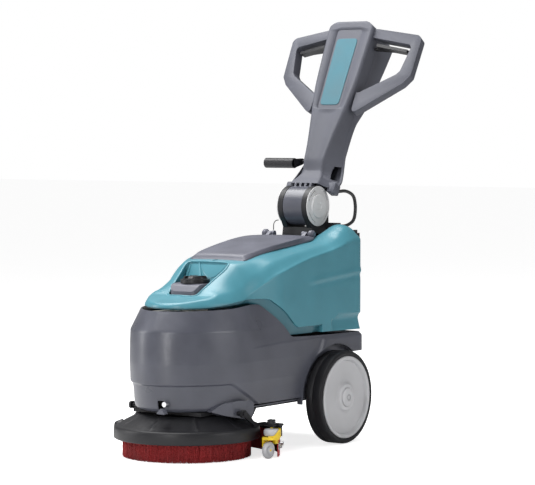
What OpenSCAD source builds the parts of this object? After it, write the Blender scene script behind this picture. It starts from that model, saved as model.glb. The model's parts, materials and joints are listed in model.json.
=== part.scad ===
// Small walk-behind floor scrubber with a single disc brush and a folding handle.
// The origin is on the floor under the centre of the brush. The front faces -Y and +Z is up.

/* [Brush deck] */
// Diameter of the disc brush
brush_d = 400; // [390:1:404]
// Length of the bristles below the brush plate
bristle_h = 56; // [50:1:56]
// Outer diameter of the brush shroud
shroud_d = 456; // [450:1:460]

/* [Lower housing] */
// Width of the lower housing
body_w = 410; // [406:1:412]
// Length of the rounded nose ahead of its widest section
nose_len = 285; // [275:1:290]
// Distance from the brush centre to the back wall
body_rear = 680; // [677:1:681]
// Wall thickness of the plastic shells
wall = 4; // [3:0.5:5]

/* [Wheels] */
// Diameter of the rear wheels
wheel_d = 300; // [292:1:302]
// Distance from the brush centre back to the axle
axle_y = 514; // [510:1:518]
// Outer face of each tyre, from the centre plane
tyre_x = 257; // [255:1:259]
// Width of the tyres
tyre_w = 62; // [56:1:62]

/* [Handle] */
// Backward lean of the handle from upright, in degrees
lean = 26.6; // [24:0.1:29]
// Height of the handle pivot
pivot_z = 759; // [757:1:762]
// Distance from the brush centre back to the handle pivot
pivot_y = 634; // [632:1:636]
// Diameter of the hub drum at the pivot
drum_d = 131; // [128:1:132]

/* [Hidden] */
$fn = 48;

eps = 0.01;
run_gap = 0.05;         // radial running clearance of a shaft in its hole
wheel_r = wheel_d / 2;
axle_z = wheel_r;
axle_r = 10;
arch_r = wheel_r + 21;
arch_x = 186;           // inner wall of the wheel arches
floor_z = 150;
nose_y = 90;            // widest section of the nose
deck_top = 135;
rim_top = 93;
rim_low = 57;
pin_r = 4;
blade_r = 290;          // radius of the curved squeegee about the brush centre
blade_a0 = 26;          // angle of each squeegee end from the X axis
lift_z = 143;           // height of the squeegee pivot
arm_x = 218;
latch = [57, -165, 178];
caster = [259, 74, 27];
roller = [262, 88, 82];
lid_hinge = [0, 550, 670];
cap_pos = [0, 44, 534];
shaft_r = 12;
notch_x = 80;           // half width of the gap in the tank for the yoke
notch_y = 574;
hose_xy = [150, 710];
corner_r = 24;
tank_rear = body_rear + 8;
float_xy = [-100, 470];
lever_q = 35;
lever_s = 180;
lever_grip = [0, 156.5];
loop_turn = 11.3;       // sweep of the side loops away from the front face
panel_turn = 13.5;      // slope of the top of the handle head
trigger_pin = [32, 601];
button_x = [-32, 0, 32];   // power, brush and water buttons
button_r = 9;

grey = [0.33, 0.34, 0.38];
dark_grey = [0.24, 0.25, 0.28];
black = [0.08, 0.08, 0.09];
teal = [0.22, 0.58, 0.64];
steel = [0.72, 0.73, 0.75];
red = [0.72, 0.08, 0.08];
yellow = [0.88, 0.72, 0.1];

// Points along an arc, as [x, y] pairs
function arc(c, r, a0, a1, n) =
    [for (i = [0:n]) let (a = a0 + (a1 - a0) * i / n) [c[0] + r * cos(a), c[1] + r * sin(a)]];

function backwards(list) = [for (i = [len(list) - 1:-1:0]) list[i]];

// Mirror image of a half outline, added in reverse order
function both_sides(pts) =
    concat(pts, [for (p = backwards(pts)) [-p[0], p[1]]]);

// Plan outline of the body: elliptical nose, nearly straight sides, rounded back
function plan(front_w, side_w, nose, rear) = concat(
    [for (i = [0:24]) let (a = 180 + 180 * i / 24) [front_w * cos(a), nose_y + nose * sin(a)]],
    [[side_w, 190]],
    arc([side_w - corner_r, rear - corner_r], corner_r, 0, 90, 5),
    arc([corner_r - side_w, rear - corner_r], corner_r, 90, 180, 5),
    [[-side_w, 190]]
);

function at_z(pts, z) = [for (p = pts) [p[0], p[1], z]];

// Closed solid through a row of rings that have the same number of points
module loft(rings) {
    n = len(rings[0]);
    m = len(rings);
    sides = [for (k = [0:m - 2], i = [0:n - 1]) let (j = (i + 1) % n)
        each [
            [k * n + i, (k + 1) * n + i, (k + 1) * n + j],
            [k * n + i, (k + 1) * n + j, k * n + j]
        ]];
    ends = [[for (i = [0:n - 1]) i], [for (i = [n - 1:-1:0]) (m - 1) * n + i]];
    polyhedron(points = [for (r = rings) each r], faces = concat(ends, sides));
}

// Prism with a side-view outline of [y, z] points, from x0 to x1
module side_prism(pts, x0, x1) {
    translate([x0, 0, 0])
        rotate([90, 0, 90])
            linear_extrude(x1 - x0) polygon(pts);
}

// Cylinder along X from x0 to x1, centred on [y, z]
module bar_x(yz, r, x0, x1) {
    translate([x0, yz[0], yz[1]])
        rotate([0, 90, 0]) cylinder(r = r, h = x1 - x0);
}

// Cylinder along Z
module post(xy, r, z0, z1) {
    translate([xy[0], xy[1], z0]) cylinder(r = r, h = z1 - z0);
}

module box(lo, hi) {
    translate(lo) cube(hi - lo);
}

// Part of a ring about the Z axis
module ring_sector(r0, r1, z0, z1, a0, a1) {
    translate([0, 0, z0])
        rotate([0, 0, a0])
            rotate_extrude(angle = a1 - a0, $fn = 96)
                translate([r0, 0]) square([r1 - r0, z1 - z0]);
}

// Quarter or half bend of a round tube in the YZ plane
module bend_x(c, r, tube, a0, a1) {
    translate(c)
        rotate([90, 0, 90])
            rotate([0, 0, a0])
                rotate_extrude(angle = a1 - a0) translate([r, 0]) circle(r = tube);
}

module both_x() {
    children();
    mirror([1, 0, 0]) children();
}

// ---------- Lower housing and what it holds ----------

// Insets of the housing outline at each height: sideways at the nose, at the sides, at the nose tip
housing_insets = [
    [floor_z, 24, 20, 34], [166, 9, 7, 12], [240, 4, 2, 4], [300, 2, 0, 0],
    [400, 6, 2, 8], [462, 34, 8, 56], [490, 42, 10, 70]
];

function inset_at(z, k) = lookup(z, [for (h = housing_insets) [h[0], h[k]]]);

module housing_form(inset, low, high) {
    middle = [for (h = housing_insets) if (h[0] > low && h[0] < high) h[0]];
    loft([for (z = concat([low], middle, [high])) at_z(plan(
        body_w / 2 - inset_at(z, 1) - inset, body_w / 2 - inset_at(z, 2) - inset,
        nose_len - inset_at(z, 3) - inset, body_rear - inset), z)]);
}

// Side view of the line where the lower housing meets the tank
seam = [[-300, 456], [0, 462], [60, 468], [128, 470], [276, 362], [360, 356], [760, 350]];

module above_seam(gap) {
    side_prism(concat([for (p = seam) p + [0, gap]], [[760, 800], [-300, 800]]), -300, 300);
}

module below_seam(gap) {
    side_prism(concat([for (p = seam) p + [0, gap]], [[760, 0], [-300, 0]]), -300, 300);
}

// Flared cover over the squeegee pivot, low on the left side
module pivot_fairing() {
    intersection() {
        side_prism([[-80, 152], [-48, 174], [0, 181], [44, 181], [57, 172], [61, 150], [53, 130],
            [24, 124], [-40, 138]], 140, 220);
        linear_extrude(300) polygon([[140, -84], [154, -80], [192, -16], [209, 28], [216, 64],
            [140, 64]]);
    }
}

module lower_housing() {
    color(grey) difference() {
        union() {
            difference() {
                housing_form(0, floor_z, 480);
                housing_form(wall, 166.5, 486);
            }
            intersection() {
                housing_form(0, floor_z, 480);
                both_x() bar_x([axle_y, axle_z], arch_r + wall, arch_x - wall, 230);
            }
            pivot_fairing();
        }
        above_seam(0);
        side_prism([[60, 100], [60, floor_z], [109, 162], [760, 162], [760, 100]], -190, 190);
        side_prism([[60, 100], [60, floor_z], [109, 162], [300, 162], [300, 100]], -220, 220);
        both_x() bar_x([axle_y, axle_z], arch_r, arch_x, 230);
        both_x() box([arch_x + wall, axle_y + 100, 100], [230, 700, 288]);
        post([0, 0], 80, 140, 170);
        post([95, 40], 8, 140, 170);
        post([0, 406], 18, 140, 170);
        both_x() bar_x([0, lift_z], 8, 100, 230);
        both_x() box([130, -66, 100], [188, 61, floor_z]);
        box([30, -220, 140], [48, -176, 186]);
        translate(latch) rotate([90, 0, 0]) cylinder(r = pin_r + run_gap, h = 30);
    }
}

module solution_tank() {
    color([0.85, 0.85, 0.82]) difference() {
        union() {
            intersection() {
                housing_form(12, 290, 450);
                box([-172, -250, 300], [172, 150, 440]);
            }
            post([0, cap_pos[1]], 40, 430, 500);
        }
        intersection() {
            housing_form(12 + wall, 290, 450);
            box([-168, -250, 304], [168, 146, 436]);
        }
        post([0, cap_pos[1]], 36, 430, 501);
    }
}

module filler_panel() {
    color(dark_grey) difference() {
        intersection() {
            linear_extrude(600) polygon([[-50, -24], [50, -24], [76, 92], [-76, 92]]);
            side_prism([[-24, 478], [-24, 502], [6, 534], [92, 534], [92, 478]], -90, 90);
        }
        post([0, cap_pos[1]], 40.3, 470, 502);
        post([0, cap_pos[1]], 34.05, 470, 540);
    }
}

rail_x = [108, 132];

module chassis_frame() {
    color(black) difference() {
        union() {
            both_x() {
                box([rail_x[0], -100, 137], [rail_x[1], 110, 149]);
                box([rail_x[0], 109, 137], [rail_x[1], 560, 161]);
                box([rail_x[0], axle_y - 20, 131], [rail_x[1], axle_y + 20, 161.5]);
                bar_x([0, lift_z], 6, rail_x[1] - 4, arm_x + 8);
            }
            box([-rail_x[1], -100, 137], [rail_x[1], -76, 149]);
            box([-rail_x[1], 92, 137], [rail_x[1], 110, 149]);
            box([-rail_x[1], 440, 137], [rail_x[1], 470, 161]);
            box([-rail_x[1], 545, 137], [rail_x[1], 640, 161]);
        }
        bar_x([axle_y, axle_z], axle_r + run_gap, -150, 150);
    }
}

module axle() {
    color(steel) bar_x([axle_y, axle_z], axle_r, -254, 254);
}

module battery_pack() {
    color(black) difference() {
        union() {
            box([-150, 250, 170], [-2, 430, 330]);
            box([2, 250, 170], [150, 430, 330]);
            box([-152, 252, 172], [152, 428, 182]);
            for (x = [-120, -32, 32, 120]) post([x, 400], 8, 325, 340);
        }
        for (x = [-76, 76]) box([x - 30, 300, 326], [x + 30, 320, 331]);
    }
}

module vacuum_motor() {
    color(dark_grey) {
        post([-120, 520], 55, 170, 240);
        post([-120, 520], 42, 240, 300);
        post([-120, 520], 14, 300, 318);
        box([-128, 460, 190], [-112, 520, 222]);
    }
}

module control_board() {
    color([0.1, 0.35, 0.2]) {
        box([70, 480, 172], [170, 580, 175]);
        for (i = [0:6]) box([76 + 13 * i, 490, 175], [82 + 13 * i, 540, 205]);
        box([80, 550, 175], [120, 572, 190]);
        box([130, 550, 175], [160, 572, 196]);
    }
}

module solution_valve() {
    color(dark_grey) difference() {
        union() {
            post([95, 40], 18, 168, 205);
            post([95, 40], 12, 205, 235);
            post([95, 40], 6, 139, 168);
        }
        post([95, 40], 3.5, 138, 190);
    }
}

module front_latch_pin() {
    color(steel) translate(latch) rotate([90, 0, 0]) {
        cylinder(r = pin_r, h = 17);
        translate([0, 0, 16]) cylinder(r = 8, h = 6);
    }
}

// ---------- Handle yoke and pivot ----------

module handle_yoke() {
    color(black) difference() {
        union() {
            box([-60, 596, 167], [60, 656, 352]);
            box([50, 690, 680], [96, 713.8, 702]);
            side_prism([[592, 352], [594, 655], [705, 655], [706, 352]], -72, 72);
            side_prism([[593, 650], [600, 690], [702, 690], [704, 650]], -58, 58);
            both_x() {
                bar_x([pivot_y, pivot_z], drum_d / 2 + 1, 38, 57);
                side_prism([[604, 680], [700, 680], [699, 745], [pivot_y, 745], [570, 745]], 38, 57);
            }
        }
        bar_x([pivot_y, pivot_z], drum_d / 2 + 2.5, -37.5, 37.5);
        bar_x([pivot_y, pivot_z], shaft_r + run_gap, -90, 90);
        bar_x([716, 680], 40, -40, 40);
    }
}

module pivot_shaft() {
    color(steel) bar_x([pivot_y, pivot_z], shaft_r, -56.5, 56.5);
}

module pivot_caps() {
    color([0.8, 0.8, 0.82]) both_x() translate([57.2, pivot_y, pivot_z]) rotate([0, 90, 0])
        rotate_extrude($fn = 72) polygon([[0, 0], [66, 0], [66, 3], [63, 5], [46, 5], [44, 7.5], [0, 8]]);
}

module tether_cord() {
    color(black) {
        bend_x([-68, 588, 684], 28, 1.5, 90, 180);
        post([-68, 560], 1.5, 680, 684 + eps);
    }
}

// ---------- Wheels ----------

module tyre() {
    color(black) translate([0, axle_y, axle_z]) rotate([0, 90, 0]) translate([0, 0, tyre_x - tyre_w])
        rotate_extrude($fn = 120) polygon([
            [134, 3], [wheel_r - 8, 0], [wheel_r - 2, 5], [wheel_r, 14], [wheel_r, tyre_w - 14],
            [wheel_r - 2, tyre_w - 5], [wheel_r - 8, tyre_w], [134, tyre_w - 3]
        ]);
}

module rim() {
    color([0.62, 0.62, 0.63]) translate([0, axle_y, axle_z]) rotate([0, 90, 0])
        translate([0, 0, tyre_x - tyre_w]) rotate_extrude($fn = 96) polygon([
            [axle_r + run_gap, 2], [26, 2], [26, 30], [122, 26], [124, 4], [133.9, 4], [133.9, 58],
            [130, 60], [124, 59], [119, 50], [46, 46], [43, 53], [34, 56], [axle_r + run_gap, 56]
        ]);
}

module hub_cap() {
    color([0.6, 0.6, 0.61]) translate([0, axle_y, axle_z]) rotate([0, 90, 0])
        translate([0, 0, tyre_x - tyre_w + 56.1]) rotate_extrude() polygon([
            [13, 0], [31, 0], [31, 4], [27, 7.5], [0, 8], [0, 4], [13, 4]
        ]);
}

// ---------- Brush deck ----------

module deck_shroud() {
    r = shroud_d / 2;
    color(black) difference() {
        union() {
            rotate_extrude($fn = 120) polygon([
                [60, deck_top], [143, deck_top], [r - 10, rim_top + 6], [r, rim_top], [r, rim_low],
                [r - 5, rim_low], [r - 5, rim_top - 2], [r - 12, rim_top], [141, deck_top - 6],
                [60, deck_top - 6]
            ]);
            for (a = [10:40:350]) rotate([0, 0, a]) rotate([90, 0, 0])
                translate([0, 0, -2]) linear_extrude(4)
                    polygon([[144, deck_top - 4], [150, deck_top - 1], [r - 14, rim_top + 9],
                        [r - 14, rim_top + 4]]);
            rotate([0, 0, 212]) post([r - 8, 0], 18, rim_low + 2, rim_top + 4);
        }
        rotate([0, 0, 212]) post([r - 8, 0], 13, rim_low, rim_top);
        difference() {
            post([0, 0], r - 5, rim_low - 1, rim_top - 6);
            rotate([0, 0, 212]) post([r - 8, 0], 18, 0, 200);
        }
        post([95, 40], 9, 120, 140);
    }
}

module brush_motor() {
    color(dark_grey) difference() {
        union() {
            post([0, 0], 75, deck_top + 0.2, 149);
            post([0, 0], 59.8, 108, 150);
            post([0, 0], 55, 149, 270);
            post([0, 0], 30, 270, 282);
            post([0, 0], 12, 70, 108);
        }
        for (a = [0:60:300]) rotate([0, 0, a]) post([68, 0], 3, 130, 150);
    }
}

module drive_hub() {
    color(steel) difference() {
        union() {
            post([0, 0], 34, 82, 106);
            rotate_extrude() translate([18, 74]) square([52, 8]);
        }
        post([0, 0], 12 + run_gap, 60, 120);
    }
}

module brush_plate() {
    color([0.15, 0.15, 0.16]) difference() {
        union() {
            post([0, 0], 192, bristle_h + 2, 73.9, $fn = 96);
            rotate_extrude($fn = 96) translate([178, bristle_h + 6]) square([12, 18]);
        }
        post([0, 0], 12 + run_gap, 50, 90);
        for (a = [0:60:300]) rotate([0, 0, a]) post([130, 0], 14, 50, 90);
    }
}

module bristles() {
    color(red) rotate_extrude($fn = 96) polygon([
        [70, 0], [brush_d / 2, 0], [brush_d / 2 - 6, bristle_h + 1.9], [70, bristle_h + 1.9]
    ]);
}

// ---------- Squeegee ----------

module squeegee_arm() {
    side_prism([[-12, lift_z + 6], [-8, lift_z + 11], [8, lift_z + 11], [60, 108], [114, 108],
        [114, 99], [58, 99], [6, lift_z - 11], [-8, lift_z - 11], [-12, lift_z - 6]],
        arm_x - 4, arm_x + 4);
    box([arm_x, 104, 99], [280, 127, 106]);
    box([253, 80, 99], [271, 110, 106]);
    box([250, 117.5, 66], [274, 127, 106]);
    post([roller[0], roller[1]], pin_r, 105, 118);
}

module squeegee_frame() {
    color(black) difference() {
        union() {
            ring_sector(blade_r - 24, blade_r - 4, 64, 78, blade_a0 - 1, 181 - blade_a0);
            both_x() squeegee_arm();
        }
        both_x() bar_x([0, lift_z], 6 + run_gap, arm_x - 10, arm_x + 10);
        post([0, blade_r - 14], 8, 60, 90);
    }
}

module front_blade() {
    color([0.5, 0.07, 0.07])
        ring_sector(blade_r - 28, blade_r - 24.1, 1, 70, blade_a0 - 3, 183 - blade_a0);
}

module rear_blade() {
    color(red) ring_sector(blade_r - 3.9, blade_r, 1, 66, blade_a0 - 1, 181 - blade_a0);
}

module blade_band() {
    color(steel) ring_sector(blade_r + 0.1, blade_r + 2, 22, 44, blade_a0 - 1, 181 - blade_a0);
}

module wing_nuts() {
    color(steel) for (a = [blade_a0 + 2, 64, 116, 178 - blade_a0]) rotate([0, 0, a])
        translate([blade_r + 2.1, 0, 33]) {
            rotate([0, 90, 0]) cylinder(r = 6, h = 7);
            for (s = [-1, 1]) rotate([s * 35, 0, 0]) box([2, -1.2, 3], [11, 1.2, 15]);
        }
}

module bumper() {
    color(yellow) {
        box([245, 46, 60], [287, 112, 68]);
        box([254, 100, 44], [270, 113, 67]);
        box([245, 60, 22], [250, 88, 61]);
        bar_x([caster[1], caster[2]], pin_r, 249, caster[0] + 10);
        post([roller[0], roller[1]], pin_r, 67, 96);
        translate([roller[0], roller[1], 0])
            ring_sector(26, 28, 66, 92, -10, 100);
    }
}

module guide_roller() {
    color([0.82, 0.82, 0.84]) translate([roller[0], roller[1], roller[2] - 11])
        rotate_extrude() polygon([
            [pin_r + run_gap, 0], [22, 0], [25, 4], [25, 16], [20, 21], [pin_r + run_gap, 22]
        ]);
}

module caster_wheel() {
    color([0.5, 0.5, 0.5]) translate([caster[0] - 7, caster[1], caster[2]]) rotate([0, 90, 0])
        rotate_extrude() polygon([
            [pin_r + run_gap, 0], [24, 0], [26.5, 3], [26.5, 12], [24, 15], [12, 15], [11, 12],
            [pin_r + run_gap, 12]
        ]);
}

module height_knob() {
    color(black) translate([roller[0], roller[1], 106.5]) difference() {
        union() {
            cylinder(r = 9, h = 14);
            for (a = [0:72:288]) rotate([0, 0, a]) translate([9, 0, 3]) cylinder(r = 5, h = 11);
        }
        translate([0, 0, -1]) cylinder(r = pin_r + run_gap, h = 12.6);
    }
}

module suction_nozzle() {
    color(black) difference() {
        union() {
            ring_sector(blade_r - 23, blade_r - 5, 78.1, 90, 80, 100);
            post([0, blade_r - 14], 17, 84, 98);
        }
        post([0, blade_r - 14], 13, 70, 100);
    }
}

module suction_hose() {
    hose_y = blade_r - 14;
    color(black) {
        bend_x([0, hose_y + 32, 98.2], 32, 16, 90, 180);
        translate([0, hose_y + 32, 130.2]) rotate([-90, 0, 0]) cylinder(r = 16, h = 66);
        bend_x([0, hose_y + 98, 162.2], 32, 16, -90, 0);
    }
}

// ---------- Recovery tank ----------

// Sections of the tank top: y, ridge x, ridge z, z at the lid edge, z on the centre line
tank_sections = [
    [-160, 146, 460, 464, 466], [-110, 150, 468, 478, 480], [-29, 158, 472, 495, 499],
    [54, 168, 481, 521, 550], [119, 178, 509, 574, 590], [160, 186, 534, 597, 600],
    [215, 198, 558, 611, 614], [254, 199, 569, 619, 622], [362, 201, 595, 632, 636],
    [455, 202, 611, 642, 646], [551, 203, 626, 650, 652], [690, 203, 640, 654, 654]
];

module tank_form(inset) {
    intersection() {
        loft([for (t = backwards(tank_sections)) [for (p = both_sides([
            [212 - inset, 340 + inset], [212 - inset, t[2] - 14], [t[1] - inset, t[2] - inset],
            [114, t[3] - inset], [50, t[4] - inset]])) [p[0], t[0], p[1]]]]);
        linear_extrude(800)
            polygon(plan(body_w / 2 - 39 - inset, body_w / 2 - 4 - inset, nose_len - 66 - inset,
                tank_rear - inset));
    }
}

// Plan outline of the open pocket around the filler
module filler_well(grow) {
    translate([0, 0, 300]) linear_extrude(400) polygon([
        [-53 - grow, -29 - grow], [53 + grow, -29 - grow], [88 + grow, 119 + grow],
        [-88 - grow, 119 + grow]
    ]);
}

module tank_hump(r) {
    translate([140, 634, 600]) rotate_extrude() polygon([
        [0, 0], [62 - r, 0], [60 - r, 30], [50 - r, 62], [36 - r, 84], [20, 96 - r], [0, 98 - r]
    ]);
}

module recovery_tank() {
    color(teal) difference() {
        union() {
            tank_form(0);
            intersection() {
                tank_hump(0);
                box([notch_x + 1, 500, 590], [203, tank_rear - 4, 720]);
            }
            both_x() {
                bar_x([lid_hinge[1], lid_hinge[2]], 9, 56, 64);
                box([56, 541, 640], [64, 559, 668]);
            }
        }
        difference() {
            tank_form(wall);
            box([-notch_x - wall, notch_y - wall, 300], [notch_x + wall, 720, 720]);
            filler_well(wall);
            translate([0, 0, wall]) below_seam(3);
        }
        intersection() {
            tank_hump(wall);
            box([notch_x + 1 + wall, 500, 590], [199, tank_rear - 4 - wall, 700]);
        }
        below_seam(3);
        box([-notch_x, notch_y, 300], [notch_x, 720, 720]);
        filler_well(0);
        box([-92, 196, 560], [92, 522, 720]);
        both_x() bar_x([lid_hinge[1], lid_hinge[2]], pin_r + 0.02, 50, 70);
        translate([hose_xy[0], 650, 400]) rotate([-90, 0, 0]) cylinder(r = 12, h = 40);
    }
}

module drain_hose() {
    color(black) difference() {
        union() {
            translate([hose_xy[0], tank_rear + 0.2, 400]) rotate([-90, 0, 0])
                cylinder(r = 16, h = hose_xy[1] - tank_rear - 0.2);
            translate([hose_xy[0], hose_xy[1], 400]) sphere(r = 16);
            post(hose_xy, 16, 400, 640);
            box([hose_xy[0] - 10, tank_rear + 0.2, 560], [hose_xy[0] + 10, hose_xy[1], 580]);
        }
        post(hose_xy, 12, 410, 641);
        translate([hose_xy[0], body_rear, 400]) rotate([-90, 0, 0]) cylinder(r = 12, h = 30);
    }
}

module drain_cap() {
    color(black) translate([hose_xy[0], hose_xy[1], 640.2]) {
        difference() {
            union() {
                cylinder(r = 20, h = 30);
                translate([0, 0, -10]) cylinder(r = 12 - run_gap, h = 12);
            }
            translate([0, 0, -11]) cylinder(r = 8, h = 36);
        }
        box([-3, -18, 29], [3, 18, 40]);
    }
}

module lid_hinge_pins() {
    color(dark_grey) both_x() {
        bar_x([lid_hinge[1], lid_hinge[2]], pin_r, 56.5, 84);
        translate([92, lid_hinge[1], lid_hinge[2]]) rotate([0, 90, 0])
            rotate_extrude() polygon([[0, -12], [8, -12], [13, -5], [13, 5], [8, 11], [0, 12]]);
    }
}

module float_cage() {
    x = float_xy[0];
    y = float_xy[1];
    color(dark_grey) difference() {
        union() {
            post(float_xy, 15, 362, 561);
            post(float_xy, 25, 560, 564);
            post(float_xy, 25, 608, 612);
            for (a = [45:90:315]) translate([x, y, 0]) rotate([0, 0, a])
                box([20, -3, 562], [25, 3, 610]);
        }
        post(float_xy, 11, 355, 570);
        post(float_xy, 13, 600, 620);
    }
}

module float_ball() {
    color([0.9, 0.9, 0.88]) translate([float_xy[0], float_xy[1], 581]) sphere(r = 16);
}

// Sections of the lid: y, bottom half width, bottom z, top half width, top z
lid_sections = [
    [158, 106, 601, 100, 604], [168, 108, 603, 94, 616], [214, 110, 614, 103, 627],
    [254, 112, 622, 105, 635], [334, 115, 632, 111, 648], [414, 117, 641, 114, 659],
    [454, 117, 645, 113, 663], [494, 116, 649, 108, 665], [536, 110, 654, 98, 665]
];

module lid_form(inset, drop) {
    loft([for (t = backwards(lid_sections)) [for (p = both_sides([
        [t[1] - inset, t[2] - drop], [t[1] - inset, t[2] + 4 - drop], [t[3] - inset, t[4] - inset],
        [40, t[4] + 1 - inset]])) [p[0], t[0], p[1]]]]);
}

module tank_lid() {
    color(dark_grey) difference() {
        union() {
            difference() {
                lid_form(0, 0);
                intersection() {
                    lid_form(3, 3);
                    box([-200, 166, 590], [200, 530, 700]);
                }
            }
            both_x() {
                bar_x([lid_hinge[1], lid_hinge[2]], 8, 65, 78);
                side_prism([[528, 657], [528, 664], [548, 677], [553, 663]], 65, 78);
            }
        }
        both_x() bar_x([lid_hinge[1], lid_hinge[2]], pin_r + run_gap, 60, 80);
    }
}

module fill_cap() {
    color(black) translate([cap_pos[0], cap_pos[1], cap_pos[2] + 0.2]) difference() {
        union() {
            cylinder(r = 46, h = 12);
            translate([0, 0, -16]) cylinder(r = 34, h = 17);
            difference() {
                cylinder(r1 = 46, r2 = 34, h = 22);
                for (a = [0, 90]) rotate([0, 0, a]) for (s = [-1, 1])
                    translate([s * 30, 0, 34]) rotate([90, 0, 0]) cylinder(r = 20, h = 30, center = true);
            }
        }
        translate([0, 0, -17]) cylinder(r = 30, h = 20);
    }
}

// ---------- Handle ----------
// Handle parts are drawn upright: x sideways, y towards the back, z up the column from the pivot.

module in_handle() {
    translate([0, pivot_y, pivot_z]) rotate([-lean, 0, 0]) children();
}

// Sections of the column: height, front half width, front y, back half width, back y
column_sections = [
    [70, 58, -30, 98, 38], [100, 50, -14, 100, 50], [127, 41, -5, 94, 58], [170, 43, -16, 82, 66],
    [213, 47, -16, 72, 72], [325, 64, -16, 68, 83], [395, 76, -16, 72, 104], [454, 83, -16, 75, 119],
    [557, 88, -16, 78, 141], [650, 91, -16, 80, 156], [700, 92, -16, 81, 162]
];

module column_form(inset, low) {
    loft([for (c = column_sections) [for (p = both_sides([
        [c[1] - 6 - inset, c[2] + inset], [c[1] - inset, c[2] + 6 + inset],
        [c[3] - inset, c[4] - 14 - inset], [c[3] - 14 - inset, c[4] - inset]]))
        [p[0], p[1], c[0] == 70 ? low : c[0]]]]);
}

// Everything below the sloping top of the head, with rounded shoulders
module head_limit(drop) {
    intersection() {
        side_prism([[-60, 60], [-60, 700], [-10, 690 - drop], [170, 647 - drop], [200, 640 - drop],
            [200, 60]], -120, 120);
        translate([0, 220, 0]) rotate([90, 0, 0]) linear_extrude(300) polygon(concat(
            [[-110, 50], [110, 50]],
            arc([50 - drop, 640 - drop], 45, 0, 80, 6), arc([drop - 50, 640 - drop], 45, 100, 180, 6)));
    }
}

module column_shell() {
    difference() {
        intersection() {
            column_form(0, 70);
            head_limit(0);
        }
        intersection() {
            column_form(wall, 66);
            head_limit(wall);
        }
    }
}

// One side loop, drawn flat in the plane it is swept in
module side_loop() {
    translate([85, 1, 0]) rotate([0, 0, loop_turn]) translate([-85, -1, 0]) difference() {
        translate([0, 35, 0]) rotate([90, 0, 0]) linear_extrude(34) difference() {
            polygon(concat([[84, 338]], arc([238, 497], 26, -50, 0, 4), arc([254, 638], 12, 0, 84, 4),
                [[88, 665]]));
            polygon([[84, 419], [92, 423], [208, 498], [219, 512], [236, 604], [231, 614], [84, 631]]);
        }
        bar_x(trigger_pin, pin_r + run_gap, 80, 244);
    }
}

module handle_shell() {
    color(grey) in_handle() difference() {
        union() {
            intersection() {
                column_shell();
                box([-130, -60, 60], [130, 44.7, 720]);
            }
            both_x() difference() {
                side_loop();
                column_form(0.1, 70);
            }
            both_x() box([72, 8, 52], [98, 40, 90]);
            both_x() translate([85, 1, 0]) rotate([0, 0, loop_turn]) translate([-85, -1, 0])
                bar_x(trigger_pin, 8, 76, 90);
        }
        translate([0, -13.4, 0]) rotate([90, 0, 0]) linear_extrude(10) front_panel_outline(0.3);
        both_x() translate([85, 1, 0]) rotate([0, 0, loop_turn]) translate([-85, -1, 0])
            bar_x(trigger_pin, pin_r + run_gap, 70, 95);
        bar_x([lever_q, lever_s], 5 + run_gap, -100, -50);
        button_bores();
        translate([88, 41, 66]) rotate([-70, 0, 0]) cylinder(r = 6.5, h = 30, center = true);
    }
}

module button_bores() {
    in_panel() for (x = button_x) post([x, -36], button_r + 1.5, -20, 10);
}

module rear_cover() {
    color(dark_grey) in_handle() difference() {
        intersection() {
            column_shell();
            box([-130, 45.3, 60], [130, 200, 720]);
        }
        box([70, 40, 60], [106, 60, 84]);
        button_bores();
    }
}

module handle_hub() {
    color(grey) in_handle() difference() {
        union() {
            bar_x([0, 0], drum_d / 2, -37, 37);
            for (x = [-30, -10, 10, 30]) box([x - 4, -34, 40], [x + 4, 30, 69.5]);
            box([-28, 0, 60], [28, 30, 130]);
        }
        bar_x([0, 0], shaft_r + run_gap, -50, 50);
    }
}

module front_panel_outline(grow) {
    offset_r = 9;
    polygon(concat(
        arc([37.5 - offset_r, 368 + offset_r], offset_r + grow, -90, 0, 4),
        arc([42 - offset_r, 619 - offset_r], offset_r + grow, 0, 90, 4),
        arc([offset_r - 42, 619 - offset_r], offset_r + grow, 90, 180, 4),
        arc([offset_r - 37.5, 368 + offset_r], offset_r + grow, 180, 270, 4)));
}

module front_panel() {
    color(teal) in_handle() translate([0, -13.6, 0]) rotate([90, 0, 0])
        linear_extrude(2.8) front_panel_outline(0);
}

// Frame of the sloping top face of the head, with its z axis out of the face
module in_panel() {
    translate([0, 75, 669.6]) rotate([-panel_turn, 0, 0]) children();
}

module control_panel() {
    color(black) in_handle() in_panel() difference() {
        union() {
            box([-60, -62, 0.6], [60, 56, 3.2]);
            box([-42, -14, 3], [42, 40, 4.4]);
        }
        for (x = button_x) post([x, -36], button_r + 0.3, -1, 5);
    }
}

module panel_button(x) {
    color([0.75, 0.76, 0.78]) in_handle() in_panel() post([x, -36], button_r, -3, 5.6);
}

module handle_cable() {
    cable_y = 742;
    color(black) {
        bend_x([88, cable_y, 748], 57, 5.5, -90, 90);
        translate([88, 712, 805]) rotate([-90, 0, 0]) cylinder(r = 5.5, h = cable_y - 712 + eps);
        translate([88, 714, 691]) rotate([-90, 0, 0]) cylinder(r = 5.5, h = cable_y - 714 + eps);
    }
}

module trigger() {
    color(black) in_handle() translate([85, 1, 0]) rotate([0, 0, loop_turn]) translate([-85, -1, 0]) {
        bar_x(trigger_pin, pin_r, 80, 242);
        bar_x(trigger_pin, 6, 98, 228);
        translate([0, 30, 0]) rotate([90, 0, 0]) linear_extrude(24)
            polygon([[108, 600], [108, 611], [222, 598], [220, 588]]);
    }
}

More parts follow.
